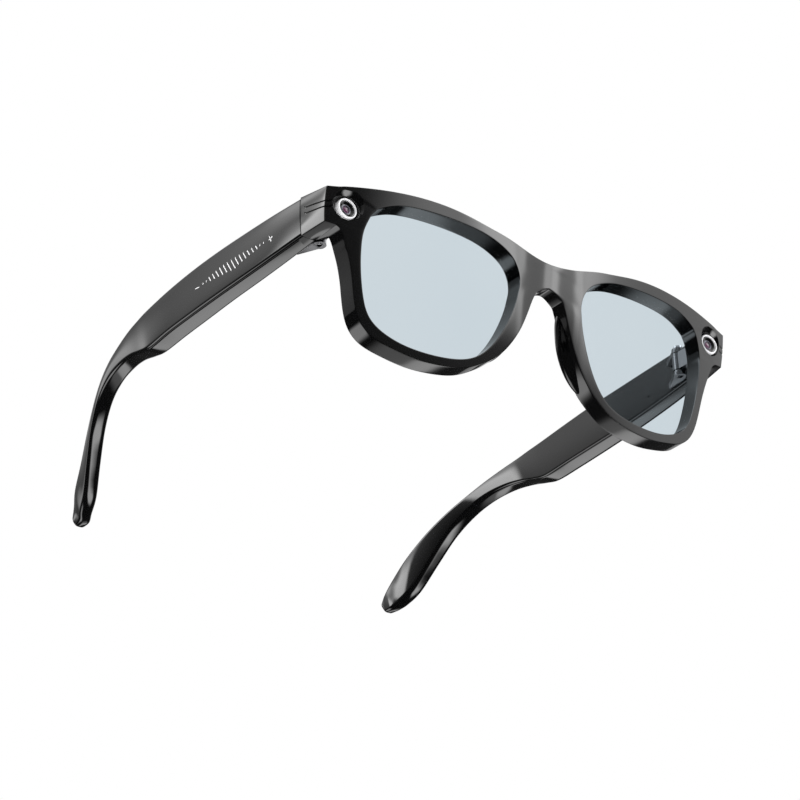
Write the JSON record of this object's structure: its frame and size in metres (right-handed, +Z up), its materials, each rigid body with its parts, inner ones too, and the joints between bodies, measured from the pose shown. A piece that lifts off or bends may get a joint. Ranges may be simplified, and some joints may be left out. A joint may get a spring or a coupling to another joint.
{
  "type": "smart glasses",
  "caption": "Folding smart glasses: glossy moulded front with cameras and see-through lenses, hinged temples that hold the electronics.",
  "frame": {"origin": "on the surface the glasses stand on, midway between the temples and midway from the front to the temple tips", "axes": "+X to the wearer's left, +Y back along the temples, +Z up"},
  "size_m": [0.1578, 0.163, 0.0461],
  "materials": {
    "gloss_black": "polished black injection moulding",
    "satin_black": "satin black",
    "clear_lens": "clear with a pale blue-grey cast",
    "window_glass": "dark coated camera window",
    "white_trim": "glossy white ring",
    "hinge_metal": "black coated steel",
    "steel": "bright screw steel",
    "gold_plating": "gold plated",
    "circuit_board": "solder mask",
    "flex_film": "polyimide film",
    "battery_foil": "pouch foil"
  },
  "bodies": {
    "front": {"front_frame": "gloss_black", "brow_cover": "satin_black", "front_flex_cable": "flex_film", "lens_left": "clear_lens", "lens_right": "clear_lens", "nose_pad_left": "gloss_black", "nose_pad_right": "gloss_black", "camera_ring_left": "white_trim", "camera_ring_right": "white_trim", "camera_window_left": "window_glass", "camera_window_right": "window_glass", "camera_module_left": "satin_black", "camera_module_right": "satin_black", "hinge_front_left": "hinge_metal", "hinge_front_right": "hinge_metal", "hinge_screw_left": "steel", "hinge_screw_right": "steel"},
    "temple_left": {"temple_shell_left": "gloss_black", "temple_cover_left": "satin_black", "hinge_temple_left": "hinge_metal", "battery_left": "battery_foil", "speaker_left": "satin_black"},
    "temple_right": {"temple_shell_right": "gloss_black", "temple_cover_right": "satin_black", "hinge_temple_right": "hinge_metal", "touch_sensor_right": "flex_film", "main_board_right": "circuit_board", "speaker_right": "satin_black", "charging_contact_1": "gold_plating", "charging_contact_2": "gold_plating"},
    "capture_button": {"capture_button": "gloss_black"}
  },
  "joints": [
    {"name": "temple_left_fold", "type": "hinge", "parent": "front", "child": "temple_left", "pos_m": [0.0673, -0.0601, 0.03808], "axis": [0, 0, 1], "range_deg": [0, 75]},
    {"name": "temple_right_fold", "type": "hinge", "parent": "front", "child": "temple_right", "pos_m": [-0.0673, -0.0601, 0.03808], "axis": [0, 0, -1], "range_deg": [0, 87.5]},
    {"name": "capture_press", "type": "slide", "parent": "temple_right", "child": "capture_button", "axis": [0, 0, -1], "range_m": [0, 0.0004], "stiffness_N_per_m": 2000}
  ]
}
